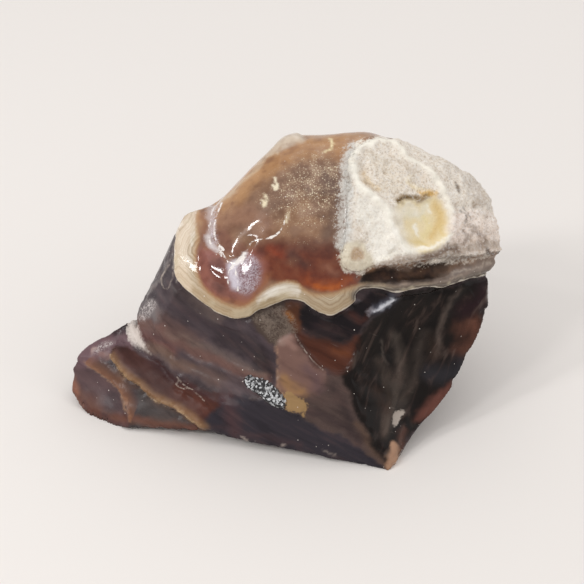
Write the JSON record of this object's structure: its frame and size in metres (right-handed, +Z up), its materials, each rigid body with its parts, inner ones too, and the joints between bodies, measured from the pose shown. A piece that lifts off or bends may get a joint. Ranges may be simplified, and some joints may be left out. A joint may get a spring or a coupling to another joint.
{
  "type": "calcite specimen",
  "caption": "Palm-sized hand specimen of dark brown banded stone: a conchoidal block with a low foot, a domed amber cap with a lobed cream rim, and a chalky crust.",
  "frame": {"origin": "centre of the bounding box in X and Y, at the level of the flat it rests on", "axes": "+Z up, away from the flat it rests on; +X from the low foot towards the crusted end, along the longest extent; +Y from the broken front to the back"},
  "size_m": [0.08, 0.0513, 0.0497],
  "materials": {
    "stone": "gloss"
  },
  "bodies": {
    "root": {"calcite_specimen": "stone"}
  },
  "joints": []
}
